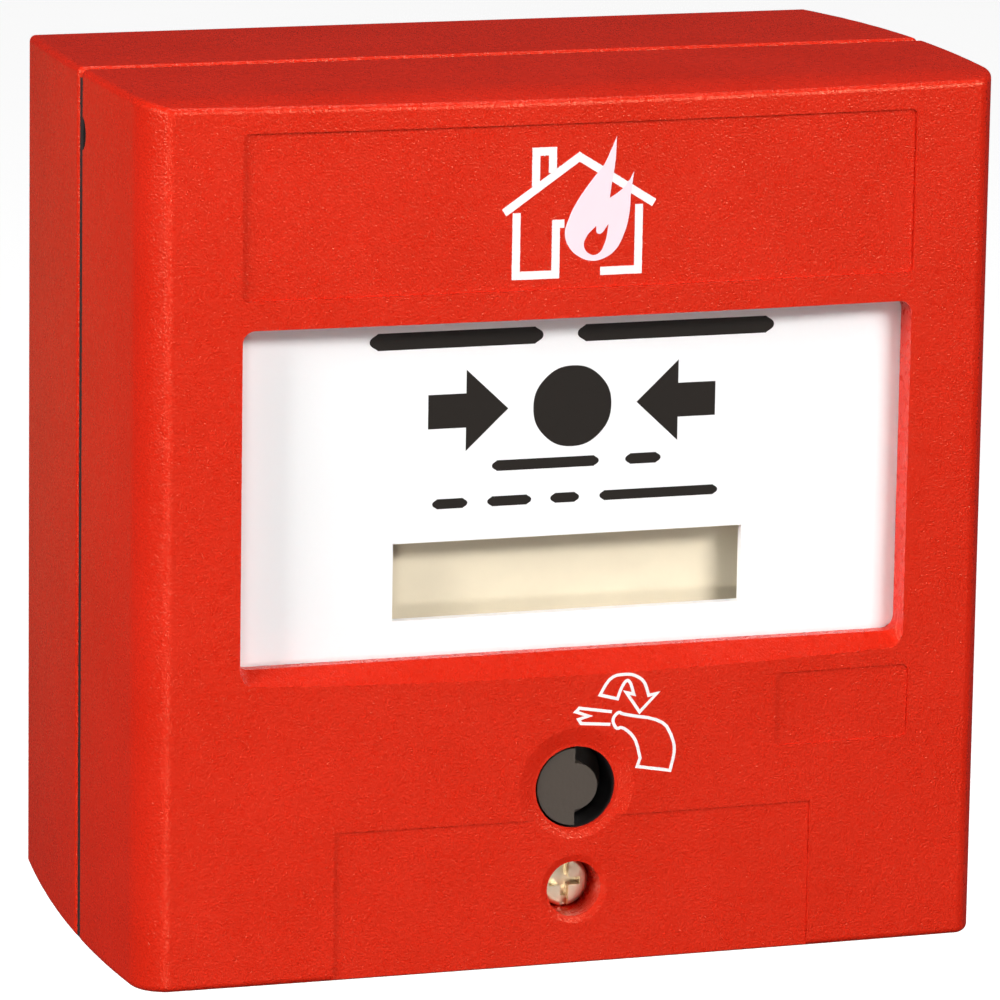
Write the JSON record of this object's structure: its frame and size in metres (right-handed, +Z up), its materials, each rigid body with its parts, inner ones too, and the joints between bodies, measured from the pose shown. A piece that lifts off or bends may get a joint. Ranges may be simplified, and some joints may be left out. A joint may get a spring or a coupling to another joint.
{
  "type": "manual call point",
  "caption": "Square wall-mounted manual call point with a push-in plate, dropping indicator, key reset and hinged screwed cover on a back box.",
  "frame": {"origin": "centre of the flat back face, on the wall", "axes": "+Y into the wall, the front faces -Y, +X to the right seen from the front, +Z up"},
  "size_m": [0.125, 0.073, 0.1246],
  "materials": {
    "red_plastic": "smooth moulded red plastic, lightly glossy",
    "white_plastic": "smooth white printed plate",
    "cream_plastic": "satin cream",
    "yellow_label": "matt printed label",
    "black_plastic": "satin moulded",
    "grey_plastic": "satin moulded",
    "natural_plastic": "satin slippery plastic",
    "grey_rubber": "matt",
    "yellow_zinc": "yellow-passivated steel",
    "bright_steel": "bright steel",
    "brass": "turned and knurled",
    "green_laminate": "coated circuit board",
    "blue_plastic": "moulded terminal housing",
    "beige_ceramic": "lacquered resistor"
  },
  "bodies": {
    "back_box": {"back_box": "red_plastic", "post_insert": "brass", "cable_grommet": "grey_rubber", "cover_seal": "grey_rubber"},
    "front_cover": {"front_cover": "red_plastic", "lock_barrel": "black_plastic", "mechanism_carrier": "black_plastic", "carrier_screws": "yellow_zinc", "contact_board": "green_laminate", "board_screws": "bright_steel", "terminal_block": "blue_plastic", "terminal_screws": "bright_steel", "terminal_cages": "brass", "line_resistor": "beige_ceramic", "microswitch_body": "black_plastic", "microswitch_blades": "brass", "microswitch_screws": "bright_steel", "crank_pin": "bright_steel", "latch_pin": "bright_steel", "plate_springs": "bright_steel", "latch_spring": "bright_steel"},
    "press_plate": {"press_plate": "white_plastic"},
    "indicator": {"indicator_flag": "cream_plastic", "alert_label": "yellow_label"},
    "trip_crank": {"trip_crank": "natural_plastic"},
    "switch_button": {"microswitch_button": "natural_plastic"},
    "reset_rotor": {"reset_rotor": "grey_plastic", "rotor_clip": "bright_steel"},
    "latch_lever": {"latch_lever": "natural_plastic"},
    "screw_retainer": {"screw_retainer": "natural_plastic"},
    "cover_screw": {"cover_screw": "yellow_zinc"}
  },
  "joints": [
    {"name": "cover_hinge", "type": "hinge", "parent": "back_box", "child": "front_cover", "pos_m": [0, -0.0385, 0.0613], "axis": [-1, 0, 0], "range_deg": [0, 70]},
    {"name": "plate_press", "type": "slide", "parent": "front_cover", "child": "press_plate", "axis": [0, 1, 0], "range_m": [0, 0.0025], "stiffness_N_per_m": 2000, "springref_m": -0.003, "deforming": ["plate_springs"]},
    {"name": "flag_drop", "type": "slide", "parent": "front_cover", "child": "indicator", "axis": [0, 0, -1], "range_m": [0, 0.012]},
    {"name": "crank_turn", "type": "hinge", "parent": "front_cover", "child": "trip_crank", "pos_m": [0.034, -0.0596, 0.0084], "axis": [0, -1, 0], "range_deg": [0, 28.3]},
    {"name": "button_travel", "type": "slide", "parent": "front_cover", "child": "switch_button", "axis": [0, 1, 0], "range_m": [0, 0.001]},
    {"name": "rotor_turn", "type": "hinge", "parent": "front_cover", "child": "reset_rotor", "pos_m": [0, -0.068, -0.0358], "axis": [0, 1, 0], "range_deg": [0, 90]},
    {"name": "latch_swing", "type": "hinge", "parent": "front_cover", "child": "latch_lever", "pos_m": [-0.009, -0.0594, -0.0186], "axis": [0, 1, 0], "range_deg": [0, 7.8], "deforming": ["latch_spring"]},
    {"name": "screw_travel", "type": "slide", "parent": "front_cover", "child": "screw_retainer", "axis": [0, -1, 0], "range_m": [0, 0.0028]},
    {"name": "screw_turn", "type": "hinge", "parent": "screw_retainer", "child": "cover_screw", "pos_m": [0, -0.051, -0.0504], "axis": [0, -1, 0], "range_deg": [0, 1440]}
  ],
  "couplings": [
    {"joint": "flag_drop", "follows": "plate_press", "ratio": 4.8},
    {"joint": "crank_turn", "follows": "plate_press", "rad_per_m": 197.17},
    {"joint": "button_travel", "follows": "plate_press", "ratio": 0.4},
    {"joint": "latch_swing", "follows": "rotor_turn", "ratio": 0.0857},
    {"joint": "screw_turn", "follows": "screw_travel", "rad_per_m": 8970}
  ]
}
